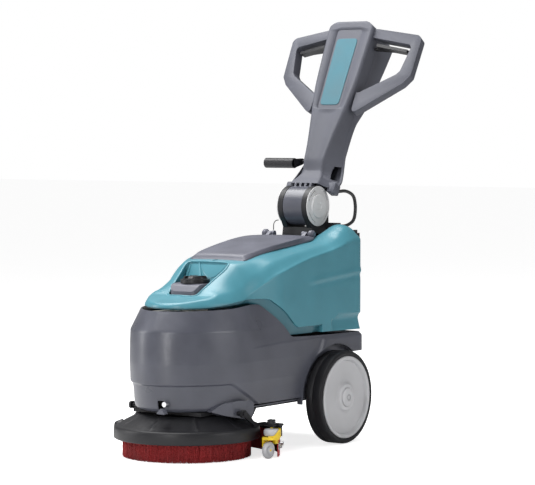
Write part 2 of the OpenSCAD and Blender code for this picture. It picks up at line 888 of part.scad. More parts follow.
module lift_lever() {
    color(black) in_handle() {
        bar_x([lever_q, lever_s], 5, -88, -56);
        bar_x([lever_q, lever_s], 10, -88, -80);
        side_prism([
            [lever_q - 6, lever_s + 8], [lever_q + 6, lever_s - 9],
            [lever_grip[0] + 7, lever_grip[1] - 13], [lever_grip[0] - 10, lever_grip[1] + 11]
        ], -88, -80);
        difference() {
            bar_x(lever_grip, 17, -200, -84);
            bar_x(lever_grip, 13, -190, -80);
        }
    }
}

lower_housing();
solution_tank();
filler_panel();
chassis_frame();
axle();
battery_pack();
vacuum_motor();
control_board();
solution_valve();
handle_yoke();
pivot_shaft();
pivot_caps();
front_latch_pin();
tether_cord();
tyre();  // tyre_left
rim();  // rim_left
hub_cap();  // hub_cap_left
mirror([1, 0, 0]) tyre();  // tyre_right
mirror([1, 0, 0]) rim();  // rim_right
mirror([1, 0, 0]) hub_cap();  // hub_cap_right
deck_shroud();
brush_motor();
drive_hub();
brush_plate();
bristles();
squeegee_frame();
front_blade();
rear_blade();
blade_band();
wing_nuts();
bumper();  // bumper_left
mirror([1, 0, 0]) bumper();  // bumper_right
suction_nozzle();
suction_hose();
guide_roller();  // guide_roller_left
mirror([1, 0, 0]) guide_roller();  // guide_roller_right
caster_wheel();  // caster_left
mirror([1, 0, 0]) caster_wheel();  // caster_right
height_knob();  // height_knob_left
mirror([1, 0, 0]) height_knob();  // height_knob_right
recovery_tank();
drain_hose();
float_cage();
lid_hinge_pins();
float_ball();
drain_cap();
tank_lid();
fill_cap();
handle_shell();
rear_cover();
handle_hub();
front_panel();
control_panel();
handle_cable();
trigger();  // trigger_left
mirror([1, 0, 0]) trigger();  // trigger_right
lift_lever();
panel_button(button_x[0]);  // power_button
panel_button(button_x[1]);  // brush_button
panel_button(button_x[2]);  // water_button
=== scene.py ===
"""Looks of the floor scrubber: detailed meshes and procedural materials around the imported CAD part."""

import json
import math
import random

import bmesh
import bpy
import numpy as np
from mathutils import Matrix, Vector


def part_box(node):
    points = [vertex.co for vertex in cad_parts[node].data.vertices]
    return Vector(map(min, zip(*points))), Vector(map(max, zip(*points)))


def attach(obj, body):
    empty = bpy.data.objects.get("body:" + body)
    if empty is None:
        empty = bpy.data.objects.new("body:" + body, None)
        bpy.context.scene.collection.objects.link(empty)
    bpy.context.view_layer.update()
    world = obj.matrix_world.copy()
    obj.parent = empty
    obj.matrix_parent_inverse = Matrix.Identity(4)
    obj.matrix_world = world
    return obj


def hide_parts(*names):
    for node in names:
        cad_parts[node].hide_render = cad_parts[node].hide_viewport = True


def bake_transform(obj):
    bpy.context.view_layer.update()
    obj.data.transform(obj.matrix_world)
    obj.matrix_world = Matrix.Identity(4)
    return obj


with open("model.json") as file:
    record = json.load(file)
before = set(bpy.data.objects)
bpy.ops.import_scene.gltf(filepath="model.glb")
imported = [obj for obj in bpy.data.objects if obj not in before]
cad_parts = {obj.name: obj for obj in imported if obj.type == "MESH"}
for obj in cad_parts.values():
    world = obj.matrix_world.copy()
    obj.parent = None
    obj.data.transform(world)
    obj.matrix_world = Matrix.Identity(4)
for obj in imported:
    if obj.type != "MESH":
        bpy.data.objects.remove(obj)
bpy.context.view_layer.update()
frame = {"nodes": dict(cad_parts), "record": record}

MM = 0.001
METRES = Matrix.Scale(MM, 4)
MIRROR = Matrix.Scale(-1, 4, (1, 0, 0))
QUARTER_TURN = Matrix.Rotation(math.radians(90), 4, "Y")  # stands a turned form on the x axis


def middle(node):
    """Centre of a CAD node in millimetres, to a tenth."""
    low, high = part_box(node)
    return [round(v / MM / 2, 1) for v in low + high]


# Driving places and sizes, in millimetres
_, AXLE_Y, AXLE_Z = middle("axle")
_, PIVOT_Y, PIVOT_Z = middle("pivot_shaft")
ROLLER_X, ROLLER_Y, _ = middle("guide_roller_left")
_, CASTER_Y, CASTER_Z = middle("caster_left")
LEAN = 26.6            # backward lean of the handle, in degrees
PANEL_SLOPE = 13.5     # slope of the top of the handle head, in degrees
HALF_WIDTH = 205       # housing, at its widest
FRONT_CENTRE_Y = 90    # where the rounded front meets the straight sides
HOUSING_LOW = 150      # lower edge of the housing in front of the wheels
HOUSING_WALL = 4
ARCH_R = 171           # wheel arch
HANDLE = (Matrix.Translation((0, PIVOT_Y, PIVOT_Z))
          @ Matrix.Rotation(math.radians(-LEAN), 4, "X"))
HEAD_TOP = Matrix.Translation((0, 75, 669.6)) @ Matrix.Rotation(math.radians(-PANEL_SLOPE), 4, "X")


# ---------- Numbers ----------

def curve(points):
    """Monotone cubic through (x, y) points, held constant past both ends."""
    xs = np.array([p[0] for p in points], float)
    ys = np.array([p[1] for p in points], float)
    step = np.diff(xs)
    slope = np.diff(ys) / step
    tangent = np.zeros(len(xs))
    for i in range(1, len(xs) - 1):
        if slope[i - 1] * slope[i] > 0:
            a, b = 2 * step[i] + step[i - 1], step[i] + 2 * step[i - 1]
            tangent[i] = (a + b) / (a / slope[i - 1] + b / slope[i])

    def value(x):
        x = min(max(x, xs[0]), xs[-1])
        i = min(int(np.searchsorted(xs, x, "right")) - 1, len(step) - 1)
        t = (x - xs[i]) / step[i]
        return float(
            ys[i] * (1 + 2 * t) * (1 - t) ** 2 + ys[i + 1] * t * t * (3 - 2 * t)
            + step[i] * (tangent[i] * t * (1 - t) ** 2 - tangent[i + 1] * t * t * (1 - t)))
    return value


def line(points):
    """Straight pieces through (x, y) points, held constant past both ends."""
    xs, ys = [p[0] for p in points], [p[1] for p in points]
    return lambda x: float(np.interp(x, xs, ys))


def smooth(x, a, b):
    """0 below a, 1 above b, and an S curve between."""
    t = min(max((x - a) / (b - a), 0.0), 1.0)
    return t * t * (3 - 2 * t)


def mix(a, b, t):
    return a + (b - a) * t


def spread(a, b, count):
    return [a + (b - a) * i / (count - 1) for i in range(count)]


def circle(cx, cy, r, count):
    """Points round a circle, as an outline for a prism."""
    return [(cx + r * math.cos(a), cy + r * math.sin(a)) for a in spread(0, 2 * math.pi, count + 1)[:-1]]


def arc(cx, cy, r, start, end, count):
    """Points along an arc between two angles in degrees."""
    return [(cx + r * math.cos(math.radians(a)), cy + r * math.sin(math.radians(a)))
            for a in spread(start, end, count)]


# ---------- Meshes, in millimetres ----------

def add(name, verts, faces, matrix=None):
    mesh = bpy.data.meshes.new(name)
    turn = matrix or Matrix.Identity(4)
    mesh.from_pydata([(turn @ Vector(v)) * MM for v in verts], [], faces)
    bm = bmesh.new()
    bm.from_mesh(mesh)
    bmesh.ops.remove_doubles(bm, verts=bm.verts, dist=1e-5)
    bmesh.ops.dissolve_degenerate(bm, edges=bm.edges, dist=1e-6)
    bmesh.ops.recalc_face_normals(bm, faces=bm.faces)
    bm.to_mesh(mesh)
    bm.free()
    obj = bpy.data.objects.new(name, mesh)
    bpy.context.scene.collection.objects.link(obj)
    return obj


def grid(rows, columns, closed=False, base=0):
    """Quads between neighbouring rings of points; closed joins the last ring to the first."""
    faces = []
    for i in range(rows if closed else rows - 1):
        here, there = base + i * columns, base + (i + 1) % rows * columns
        for k in range(columns):
            beside = (k + 1) % columns
            faces.append([here + k, here + beside, there + beside, there + k])
    return faces


def lathe(name, profile, matrix=None, segs=96, wave=None):
    """Closed solid from (r, z) points; a profile that starts off the axis closes on itself."""
    verts, rings, faces = [], [], []
    for r, z in profile:
        if r < 1e-6:
            rings.append([len(verts)] * segs)
            verts.append((0, 0, z))
            continue
        rings.append(list(range(len(verts), len(verts) + segs)))
        for i in range(segs):
            a = 2 * math.pi * i / segs
            dr, dz = wave(a, r, z) if wave else (0, 0)
            verts.append(((r + dr) * math.cos(a), (r + dr) * math.sin(a), z + dz))
    if profile[0][0] > 1e-6:
        rings.append(rings[0])
    for a, b in zip(rings, rings[1:]):
        for i in range(segs):
            j = (i + 1) % segs
            loop = []
            for v in (a[i], a[j], b[j], b[i]):
                if v not in loop:
                    loop.append(v)
            if len(loop) > 2:
                faces.append(loop)
    return add(name, verts, faces, matrix)


def loft(name, rings, matrix=None):
    """Closed solid through rings of equal length, capped at both ends."""
    n = len(rings[0])
    verts = [p for ring in rings for p in ring]
    caps = [list(range(n)), list(range(len(verts) - n, len(verts)))]
    return add(name, verts, caps + grid(len(rings), n), matrix)


def prism(name, outline, lo, hi, axis="z", matrix=None):
    """Extrusion of a 2-D outline: axis x takes (y, z) points, y takes (x, z), z takes (x, y)."""
    place = {"x": lambda p, h: (h, p[0], p[1]), "y": lambda p, h: (p[0], h, p[1]),
             "z": lambda p, h: (p[0], p[1], h)}[axis]
    return loft(name, [[place(p, lo) for p in outline], [place(p, hi) for p in outline]], matrix)


def block(name, lo, hi, matrix=None):
    return prism(name, [(lo[0], lo[1]), (hi[0], lo[1]), (hi[0], hi[1]), (lo[0], hi[1])],
                 lo[2], hi[2], "z", matrix)


def rounded(points, radius, steps=5):
    """Polygon with every corner rounded."""
    out = []
    for i, p in enumerate(points):
        a, b, c = Vector(points[i - 1]), Vector(p), Vector(points[(i + 1) % len(points)])
        u, v = (a - b).normalized(), (c - b).normalized()
        half = math.acos(max(-1, min(1, u.dot(v)))) / 2
        reach = min(radius / math.tan(half), (a - b).length * 0.48, (c - b).length * 0.48)
        for k in range(steps + 1):
            t = k / steps
            out.append(tuple((b + u * reach) * (1 - t) ** 2 + b * 2 * t * (1 - t)
                             + (b + v * reach) * t ** 2))
    return out


def tube(name, path, radius, matrix=None, segs=16, closed=False):
    """Round tube along 3-D points; radius is a number or one number per point."""
    pts = [Vector(p) for p in path]
    n = len(pts)
    radii = radius if isinstance(radius, list) else [radius] * n
    rings, normal = [], None
    for i, p in enumerate(pts):
        if closed:
            d = pts[(i + 1) % n] - pts[i - 1]
        else:
            d = pts[min(i + 1, n - 1)] - pts[max(i - 1, 0)]
        d.normalize()
        if normal is None:
            normal = d.orthogonal().normalized()
        normal = (normal - d * normal.dot(d)).normalized()
        side = d.cross(normal)
        rings.append([tuple(p + (normal * math.cos(a) + side * math.sin(a)) * radii[i])
                      for a in (2 * math.pi * k / segs for k in range(segs))])
    if not closed:
        return loft(name, rings, matrix)
    return add(name, [p for ring in rings for p in ring], grid(n, segs, True), matrix)


def bent(points, radius, steps=6):
    """3-D path with its inner corners rounded."""
    out = [Vector(points[0])]
    for a, b, c in zip(points, points[1:], points[2:]):
        a, b, c = Vector(a), Vector(b), Vector(c)
        u, v = (a - b), (c - b)
        reach = min(radius, u.length * 0.48, v.length * 0.48)
        u.normalize()
        v.normalize()
        for k in range(steps + 1):
            t = k / steps
            out.append((b + u * reach) * (1 - t) ** 2 + b * 2 * t * (1 - t)
                       + (b + v * reach) * t ** 2)
    out.append(Vector(points[-1]))
    return out


def boolean(obj, other, operation="DIFFERENCE"):
    mod = obj.modifiers.new("cut", "BOOLEAN")
    mod.object, mod.operation, mod.solver = other, operation, "EXACT"
    bpy.context.view_layer.update()
    done = obj.evaluated_get(bpy.context.evaluated_depsgraph_get())
    mesh = bpy.data.meshes.new_from_object(done)
    obj.modifiers.clear()
    obj.data = mesh
    bpy.data.objects.remove(other)
    return obj


def join(obj, *others):
    """Adds the other meshes to obj as further closed shells."""
    bm = bmesh.new()
    bm.from_mesh(obj.data)
    for o in others:
        bm.from_mesh(o.data)
        bpy.data.objects.remove(o)
    bm.to_mesh(obj.data)
    bm.free()
    return obj


def copy_of(obj, name):
    """A second object with its own copy of the mesh."""
    copy = bpy.data.objects.new(name, obj.data.copy())
    bpy.context.scene.collection.objects.link(copy)
    return copy


def mirrored(obj, name):
    """A copy of obj on the other side of the machine."""
    copy = copy_of(obj, name)
    copy.data.transform(MIRROR)
    copy.data.flip_normals()
    return copy


def soften(obj, width, segments=2, angle=32):
    """Rounds the sharp edges by a width in millimetres."""
    mod = obj.modifiers.new("edges", "BEVEL")
    mod.width, mod.segments = width * MM, segments
    mod.limit_method, mod.angle_limit = "ANGLE", math.radians(angle)
    mod.harden_normals = True
    return obj


def bake(obj):
    """Applies the modifiers."""
    bpy.context.view_layer.update()
    obj.data = bpy.data.meshes.new_from_object(
        obj.evaluated_get(bpy.context.evaluated_depsgraph_get()))
    obj.modifiers.clear()
    return obj


def dress(obj, name):
    """Gives obj one material, and smooth shading."""
    count = len(obj.data.polygons)
    obj.data.materials.clear()
    obj.data.materials.append(LOOKS[name])
    obj.data.polygons.foreach_set("use_smooth", [True] * count)
    obj.data.polygons.foreach_set("material_index", [0] * count)


def place(obj, body, slot, replaces=(), sharp=34, finish=None):
    """Gives obj the material of its slot, and its body; finish names a material other than the slot's
    own.
    """
    dress(obj, finish or slot)
    if not obj.modifiers:
        obj.data.set_sharp_from_angle(angle=math.radians(sharp))
    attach(obj, body)
    if replaces:
        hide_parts(*replaces)
    return obj


# ---------- Materials ----------

def shader_node(tree, kind, **values):
    """New node in a shader tree; values are inputs by name, with _ for a space."""
    node = tree.nodes.new("ShaderNode" + kind)
    for key, value in values.items():
        node.inputs[key.replace("_", " ")].default_value = value
    return node


CLOUD_SCALE = 11
CLOUD_LOW, CLOUD_HIGH = 0.3, 0.7      # range of the cloud noise that is spread out
EDGE_LOW, EDGE_HIGH = 0.53, 0.64      # range of pointiness over which an edge turns pale
RELIEF_DEPTH = 0.0006


def look(name, colour, rough, metal=0.0, grain=900, bump=0.12, vary=0.12, wear=0.35, coat=0.0,
         stretch=(1, 1, 1), gloss=0.5):
    """Procedural material: cloudy tone and roughness, fine relief, and paler edges."""
    mat = bpy.data.materials.new(name)
    mat.use_nodes = True
    tree = mat.node_tree
    link = tree.links.new
    shader = tree.nodes["Principled BSDF"]
    coord = shader_node(tree, "TexCoord")
    scale = shader_node(tree, "Mapping", Scale=stretch)
    link(coord.outputs["Object"], scale.inputs["Vector"])
    cloud = shader_node(tree, "TexNoise", Scale=CLOUD_SCALE, Detail=5)
    link(coord.outputs["Object"], cloud.inputs["Vector"])
    fine = shader_node(tree, "TexNoise", Scale=grain, Detail=2)
    link(scale.outputs["Vector"], fine.inputs["Vector"])
    tone = shader_node(tree, "MapRange", From_Min=CLOUD_LOW, From_Max=CLOUD_HIGH,
                       To_Min=1 - vary, To_Max=1 + vary)
    link(cloud.outputs["Fac"], tone.inputs["Value"])
    base = shader_node(tree, "VectorMath")
    base.operation = "SCALE"
    base.inputs[0].default_value = colour
    link(tone.outputs["Result"], base.inputs["Scale"])
    geometry = shader_node(tree, "NewGeometry")
    edge = shader_node(tree, "MapRange", From_Min=EDGE_LOW, From_Max=EDGE_HIGH, To_Max=wear)
    link(geometry.outputs["Pointiness"], edge.inputs["Value"])
    blend = shader_node(tree, "Mix")
    blend.data_type = "RGBA"
    link(edge.outputs["Result"], blend.inputs["Factor"])
    link(base.outputs["Vector"], blend.inputs["A"])
    blend.inputs["B"].default_value = (*[min(1, c * 1.7 + 0.02) for c in colour], 1)
    link(blend.outputs["Result"], shader.inputs["Base Color"])
    shine = shader_node(tree, "MapRange", From_Min=CLOUD_LOW, From_Max=CLOUD_HIGH,
                        To_Min=rough - 0.05, To_Max=rough + 0.06)
    link(cloud.outputs["Fac"], shine.inputs["Value"])
    link(shine.outputs["Result"], shader.inputs["Roughness"])
    relief = shader_node(tree, "Bump", Strength=bump, Distance=RELIEF_DEPTH)
    link(fine.outputs["Fac"], relief.inputs["Height"])
    link(relief.outputs["Normal"], shader.inputs["Normal"])
    for key, value in (("Metallic", metal), ("Specular IOR Level", gloss), ("Coat Weight", coat),
                       ("Coat Roughness", 0.25)):
        shader.inputs[key].default_value = value
    return mat


# Name, colour, roughness, and what differs from the defaults of look()
LOOKS = {name: look(name, colour, rough, **extra) for name, colour, rough, extra in (
    ("housing_grey", (0.062, 0.065, 0.083), 0.32, dict(grain=1400, bump=0.1)),
    ("cover_grey", (0.08, 0.083, 0.108), 0.45, dict(grain=1400, bump=0.1)),
    ("handle_grey", (0.062, 0.065, 0.083), 0.62, dict(grain=1400, bump=0.14)),
    ("rear_grey", (0.07, 0.073, 0.092), 0.62, dict(grain=1400, bump=0.14)),
    # painted shade: a darker copy of the tank teal for the recessed band below the side panel
    ("teal_band", (0.022, 0.1, 0.13), 0.4, dict(grain=1300, bump=0.07, vary=0.06)),
    ("panel_teal", (0.022, 0.11, 0.145), 0.6, dict(grain=1300, bump=0.05)),
    ("tank_teal", (0.048, 0.195, 0.245), 0.36, dict(grain=1300, bump=0.07, vary=0.06)),
    ("black_plastic", (0.011, 0.011, 0.013), 0.42, dict(grain=1100, bump=0.15, gloss=0.3)),
    ("tank_natural", (0.72, 0.71, 0.66), 0.4, dict(bump=0.06)),
    ("wheel_grey", (0.44, 0.44, 0.455), 0.42, dict(grain=1200, bump=0.08, vary=0.05)),
    ("wheel_rubber", (0.01, 0.01, 0.012), 0.5, dict(grain=700, bump=0.3, gloss=0.22)),
    ("frame_black", (0.008, 0.008, 0.01), 0.5, dict(grain=1600, bump=0.3, gloss=0.25)),
    ("steel", (0.55, 0.56, 0.58), 0.3, dict(metal=1.0, grain=500, stretch=(1, 1, 12), vary=0.08)),
    ("chrome", (0.78, 0.78, 0.8), 0.16, dict(metal=1.0, grain=300, bump=0.03, vary=0.04)),
    ("bristle_red", (0.2, 0.004, 0.005), 0.7, dict(grain=1800, bump=0.5, vary=0.4)),
    ("blade_red", (0.46, 0.012, 0.014), 0.4, dict(bump=0.1)),
    ("bumper_yellow", (0.68, 0.47, 0.012), 0.42, dict(bump=0.12)),
    ("roller_grey", (0.4, 0.4, 0.42), 0.35, dict(bump=0.08)),
    ("hose_black", (0.012, 0.012, 0.013), 0.5, dict(grain=600, bump=0.25)),
    ("board_green", (0.03, 0.2, 0.05), 0.4, dict()),
    ("button_silver", (0.5, 0.5, 0.505), 0.35, dict(bump=0.06)),
    ("float_white", (0.7, 0.7, 0.68), 0.4, dict(bump=0.05)),
)}


# ---------- Lower housing ----------

FRONT_LENGTH = 285     # from the front centre to the tip, before the insets
NOSE_POWER = 1.036     # a little flatter than an ellipse
HOUSING_REAR = 680
REAR_ROUND = 24
ARCH_FRONT, ARCH_REAR = 343.4, 614
ROWS = 144             # mesh rows from the lower edge to the seam
SKIRT_STEP = 7         # how far the skirt stands back
GROOVE = 2.6           # depth and half width of the groove over the skirt
ARCH_FLARE = 8
SIDE_LOW, REAR_LOW = 162, 288.7       # lower edge ahead of the arch and behind it

# Insets of the outline at each height: tip, shoulders of the nose, and sides
tip_inset = line([(148, 40), (150, 30), (154, 22), (160, 17), (170, 14), (213, 10), (235, 7), (296, 5),
                  (360, 6.5), (394, 8.5), (397, 9.6), (400, 11.5), (402, 12.5), (463, 52), (480, 63)])
nose_inset = line([(148, 28), (150, 20), (154, 14), (160, 10.5), (170, 8.5), (213, 6), (235, 4),
                   (296, 2), (360, 3), (394, 4.3), (397, 5), (400, 6.4), (402, 7.2), (463, 32),
                   (480, 41)])
rear_inset = line([(148, 24), (150, 16), (154, 10), (160, 7), (170, 5), (213, 3.5), (235, 1.5),
                   (296, 0), (360, 0.5), (396, 1.5), (402, 2), (463, 8.5), (480, 11)])
seam = curve([(-300, 456), (0, 461), (60, 465), (136, 468.5), (146, 467), (156, 461), (166, 453.5),
              (256, 384), (268, 372), (278, 362), (296, 358), (760, 350)])
flare_line = line([(149, 334), (185, 354), (247, 390), (341, 437)])


def body_offset(y, z):
    """Outward relief of the housing side at a height: skirt step, leaning band and arch flare."""
    step_z = 232 if y < -12 else 232 - 0.5785 * (y + 12)
    out = -SKIRT_STEP * (1 - smooth(z, step_z - 4, step_z + 2)) * (1 - smooth(y, 100, 124))
    out -= GROOVE * math.exp(-((z - step_z) / GROOVE) ** 2) * (1 - smooth(y, 100, 124))
    crease = line([(50, 335), (242, 344), (700, 344)])(y)
    fade = smooth(y, 50, 130)
    if z > crease:
        out -= fade * (1.2 * smooth(z, crease, crease + 4) + 0.06 * (z - crease))
    behind = (y - flare_line(z)) * 0.87
    out += ARCH_FLARE * smooth(behind, 0, 24) * (1 - smooth(z, 336, 352)) * smooth(y, 320, 350)
    return out


def bottom_edge(y):
    """Lower edge of the housing: level in front, over the wheel arch, and level again behind."""
    if y < 60:
        return HOUSING_LOW
    if y < ARCH_FRONT:
        return mix(HOUSING_LOW, SIDE_LOW, smooth(y, 60, 109))
    if y < ARCH_REAR:
        rise = math.sqrt(max(ARCH_R ** 2 - (y - AXLE_Y) ** 2, 0))
        return max(AXLE_Z + rise, SIDE_LOW)
    return REAR_LOW


def plan_point(kind, t, z, wall):
    """Point of the housing outline at a height, with its relief, moved inwards by the wall."""
    nose, side, tip = nose_inset(z), rear_inset(z), tip_inset(z)
    if kind == "nose":
        w, length = HALF_WIDTH - nose, FRONT_LENGTH - tip
        p = Vector((w * max(math.cos(t), 0) ** NOSE_POWER,
                    FRONT_CENTRE_Y - length * math.sin(t) ** NOSE_POWER))
        n = Vector((math.cos(t) / w, -math.sin(t) / length)).normalized()
    elif kind == "side":
        p = Vector((HALF_WIDTH - mix(nose, side, smooth(t, FRONT_CENTRE_Y, 240)), t))
        n = Vector((1, 0))
    elif kind == "corner":
        p = Vector((HALF_WIDTH - REAR_ROUND - side + REAR_ROUND * math.cos(t),
                    HOUSING_REAR - REAR_ROUND + REAR_ROUND * math.sin(t)))
        n = Vector((math.cos(t), math.sin(t)))
    else:
        p = Vector(((HALF_WIDTH - REAR_ROUND - side) * t, HOUSING_REAR))
        n = Vector((0, 1))
    return p + n * (body_offset(p.y, z) - wall)


def stations():
    """Outline points of one half as (kind, parameter), closer together over the arch."""
    arch = [AXLE_Y - ARCH_R * math.cos(math.radians(a)) for a in np.arange(4.4, 126, 2.4)]
    side = spread(FRONT_CENTRE_Y, 343, 62)[1:]
    side += [y for y in arch if ARCH_FRONT < y < ARCH_REAR - 0.5] + [ARCH_REAR - 0.1, ARCH_REAR + 0.1]
    side += spread(620, 656, 7)
    out = [("nose", t) for t in spread(math.pi / 2, 0, 64)] + [("side", y) for y in side]
    out += [("corner", a) for a in spread(0, math.pi / 2, 8)[1:]]
    return out + [("rear", f) for f in spread(1, 0, 12)[1:]]


def housing_shell():
    """Double-walled shell: one column of points, up the outside and down the inside, per station."""
    half = stations()
    columns = []
    for kind, t in half:
        y = plan_point(kind, t, 300, 0).y
        low, high = bottom_edge(y), seam(y)
        column = []
        for wall in (0, HOUSING_WALL):
            zs = [mix(low, high, k / ROWS) for k in range(ROWS + 1)]
            if wall:
                zs = zs[::-4]
            for z in zs:
                p = plan_point(kind, t, z, wall)
                if kind == "nose" and t == math.pi / 2 or kind == "rear" and t == 0:
                    p.x = 0
                column.append((p.x, p.y, z))
        columns.append(column)
    ring = columns + [[(-x, y, z) for x, y, z in c] for c in columns[-2:0:-1]]
    return add("housing_shell", [p for c in ring for p in c], grid(len(ring), len(ring[0]), True))


shell = housing_shell()
boolean(shell, prism("slot", rounded([(21, 157), (43, 157), (43, 187), (21, 187)], 3), -300, -120,
                     "y"))

# Wheel wells: a rim over each tyre and a disc behind it, open round the axle
WELL_R = ARCH_R + 4
well_rim = [arc(AXLE_Y, AXLE_Z, r, -4, 184, 60) for r in (ARCH_R, WELL_R)]
rim = prism("well_rim", well_rim[0] + well_rim[1][::-1], 182, 201, "x")
disc = prism("well_disc", arc(AXLE_Y, AXLE_Z, WELL_R, 0, 180, 60), 182, 186, "x")
boolean(disc, prism("axle_hole", circle(AXLE_Y, AXLE_Z, 36, 32), 170, 200, "x"))
wells = [rim, disc, mirrored(rim, "rim_right"), mirrored(disc, "disc_right")]

floor_outline = [(165 * math.cos(t), FRONT_CENTRE_Y - 245 * math.sin(t)) for t in spread(0, math.pi, 40)]
floor_plate = prism("floor_plate", floor_outline + [(-180, 120), (-180, 660), (180, 660), (180, 120)],
                    151, 155)
for r, y in ((82, 0), (30, 276)):
    boolean(floor_plate, prism("hole", circle(0, y, r, 48), 140, 170))
rear_wall = block("rear_wall", (-181, 657, 155.5), (181, 660.5, 300))
join(shell, floor_plate, rear_wall, *wells)
place(shell, "chassis", "housing_grey", ("lower_housing",), sharp=40)

cover = prism("pivot_fairing", [(-80, 152), (-48, 174), (0, 181), (40, 181), (53, 176), (60, 162),
                                (59, 146), (53, 132), (42, 125), (24, 124), (-40, 138)],
              140, 220, "x")
boolean(cover, prism("reach", rounded([(140, -84), (154, -80), (192, -16), (209, 28), (216, 64),
                                       (140, 64)], 5), 100, 220), "INTERSECT")
place(soften(cover, 3, 3, 28), "chassis", "housing_grey")

tab = prism("front_tab", rounded([(42, 150), (73, 150), (70, 156), (61, 167), (56, 167), (44, 156)], 2),
            -205, -188, "y")
place(soften(tab, 1.5), "chassis", "housing_grey")

# The clean water tank, kept inside the shell walls
inner_rings = []
for z in spread(296, 462, 24) + [520]:
    half = [plan_point(kind, t, min(z, 462), 7) for kind, t in stations()]
    inner_rings.append([(p.x, p.y, z) for p in half] + [(-p.x, p.y, z) for p in half[-2:0:-1]])
source = frame["nodes"]["solution_tank"]
water_tank = copy_of(source, "water_tank")
water_tank.data.transform(source.matrix_world)
boolean(water_tank, loft("inner_space", inner_rings), "INTERSECT")
place(soften(water_tank, 1.5), "chassis", "tank_natural", ("solution_tank",))

filler = prism("filler_bowl", rounded([(-50, -24), (50, -24), (76, 92), (-76, 92)], 24, 8), 478, 534)
boolean(filler, prism("profile", rounded([(-30, 470), (-30, 504), (-8, 530), (8, 534), (100, 534),
                                          (100, 470)], 14, 6), -90, 90, "x"), "INTERSECT")
for r, low, high in ((40.3, 470, 502), (34.05, 470, 540)):
    boolean(filler, prism("bore", circle(0, 44, r, 64), low, high))
place(soften(filler, 2, 3), "chassis", "cover_grey", ("filler_panel",))


# ---------- Recovery tank ----------

TANK_FRONT_WIDTH = 163     # half width of the rounded front
TANK_SIDE_WIDTH = 203      # half width behind it
TANK_NOSE = 217            # from the front centre to the tip
TANK_REAR = 688
TANK_WALL = 4
BAND_SHARES = (0, 0.15, 0.3, 0.45, 0.6, 0.75, 0.9, 0.955, 1)
EDGE_STEPS = 8

# Heights along y: lower edge of the side panel, and lower edge of the tank
panel_edge = curve([(-127, 466), (-50, 468), (0, 474), (60, 483), (110, 486), (175, 484), (199, 470),
                    (249, 438), (324, 387), (485, 387), (561, 413), (700, 413)])
tank_bottom = curve([(-127, 461), (0, 465), (60, 470), (110, 473), (139, 466), (199, 428), (249, 389),
                     (272, 367), (290, 364), (450, 363), (700, 358)])
# Top sections: y, centre z, inner x and z, outer x and z, edge z
TOP = [
    (-130, 478, 40, 478, 60, 477, 474), (-110, 482, 40, 482, 60, 481, 477),
    (-80, 488, 50, 488, 85, 487, 479), (-50, 494, 53, 494, 105, 493, 481),
    (-29, 499, 53, 498, 118, 497, 483), (0, 519, 60, 517, 122, 507, 485),
    (54, 554, 73, 552, 140, 512, 488), (88, 577, 81, 574, 145, 522, 496),
    (119, 597, 88, 595, 150, 545, 511), (158, 602, 106, 600, 160, 562, 532),
    (215, 614, 110, 612, 166, 594, 562), (254, 621, 112, 619, 168, 603, 573),
    (328, 630, 114, 628, 170, 617, 592), (388, 638, 114, 635, 170, 625, 605),
    (455, 645, 115, 643, 170, 635, 616), (551, 653, 116, 650, 170, 644, 630),
    (656, 658, 116, 655, 170, 650, 639), (690, 659, 116, 656, 170, 652, 643),
]
top_parts = [curve([(row[0], row[k]) for row in TOP]) for k in range(1, 7)]
hump_along = curve([(505, 0), (522, 2), (560, 13), (600, 34), (636, 48), (660, 44), (690, 20)])


def tank_half_width(y):
    if y < FRONT_CENTRE_Y:
        return TANK_FRONT_WIDTH * math.sqrt(max(1 - ((FRONT_CENTRE_Y - y) / TANK_NOSE) ** 2, 0))
    return mix(TANK_FRONT_WIDTH, TANK_SIDE_WIDTH, smooth(y, FRONT_CENTRE_Y, 240))


def top_z(x, y):
    """Height of the tank's top, with the hump on the left (positive x)."""
    centre, x1, z1, x2, z2, edge = [f(y) for f in top_parts]
    reach = max(tank_half_width(y), x2 + 8)
    z = curve([(0, centre), (x1, z1), (x2, z2), (reach, edge)])(abs(x))
    if x > 60:
        across = max(0.0, 1 - ((x - 145) / 64) ** 2)
        z += hump_along(y) * across ** 0.7
    return z


def tank_outline(kind, t, inset):
    """Point of the tank's outline, at an inset from its widest form."""
    corner_x = TANK_SIDE_WIDTH - REAR_ROUND
    if kind == "nose":
        return Vector(((TANK_FRONT_WIDTH - inset) * max(math.cos(t), 0),
                       FRONT_CENTRE_Y - (TANK_NOSE - inset) * math.sin(t)))
    if kind == "side":
        return Vector((tank_half_width(t) - inset, t))
    if kind == "corner":
        r = REAR_ROUND - inset
        return Vector((corner_x + r * math.cos(t), TANK_REAR - REAR_ROUND + r * math.sin(t)))
    return Vector((corner_x * t, TANK_REAR - inset))


def undercut(y, z, share):
    """Depth of the shadow gap below the side panel."""
    if y < 450:
        depth = 4.5 + 8 * (1 - share) if share < 0.99 else 0
        if 410 < y < 449 and share < 0.9:
            depth += 8
        return depth
    if y < 500:
        return 0
    scoop = line([(355, 0), (358, 1), (375, 5), (395, 9), (404, 8), (411, 1.5), (413, 0)])
    return scoop(z) * smooth(y, 500, 512)


def side_relief(y, z):
    """Raised crease along the rear of the side panel, with a groove below it."""
    crease = line([(382, 528), (665, 550)])(y)
    fade = smooth(y, 350, 450)
    gap = z - crease
    return fade * (2.6 * math.exp(-(gap / 9) ** 2) - 1.6 * math.exp(-((gap + 14) / 9) ** 2))


def tank_stations():
    side = spread(FRONT_CENTRE_Y, 408, 62)[1:] + [409.5, 410.5, 420, 430, 440, 448.5, 449.5, 450.5]
    side += spread(456, 498, 8) + [499.5, 500.5] + spread(506, 664, 28)
    out = [("nose", t) for t in spread(math.pi / 2, 0, 56)] + [("side", y) for y in side]
    out += [("corner", a) for a in spread(0, math.pi / 2, 8)[1:]]
    return out + [("rear", f) for f in spread(1, 0, 20)[1:]]


